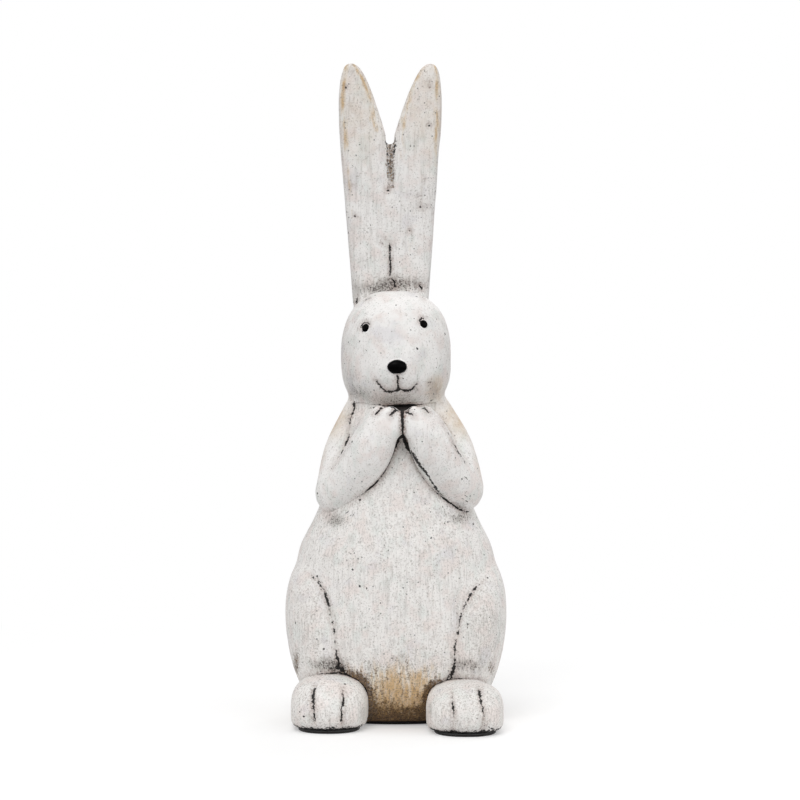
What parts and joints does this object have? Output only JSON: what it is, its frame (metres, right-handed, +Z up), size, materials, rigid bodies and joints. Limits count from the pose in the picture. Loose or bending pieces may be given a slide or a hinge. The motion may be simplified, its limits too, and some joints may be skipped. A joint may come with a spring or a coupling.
{
  "type": "rabbit figurine",
  "caption": "Tall rabbit ornament sitting upright with long joined ears and paws folded under its chin, in whitewashed cast mineral.",
  "frame": {"origin": "centre of the underside of the body's pad, on the ground", "axes": "+Z up along the rabbit's height, the rabbit faces -Y, its right side is at -X"},
  "size_m": [0.1336, 0.1479, 0.3988],
  "materials": {
    "casting": "whitewashed, brushed and antiqued, matt",
    "bead": "glossy black",
    "steel": "plain drawn bar",
    "rubber": "moulded, matt",
    "felt": "pressed felt"
  },
  "bodies": {
    "root": {"body": "casting", "head": "casting", "ears": "casting", "right_arm": "casting", "left_arm": "casting", "right_foot": "casting", "left_foot": "casting", "tail": "casting", "right_eye": "bead", "left_eye": "bead", "nose": "bead", "neck_dowel": "steel", "right_ear_rod": "steel", "left_ear_rod": "steel", "base_plug": "rubber", "base_pad": "felt", "right_foot_pad": "felt", "left_foot_pad": "felt"}
  },
  "joints": []
}
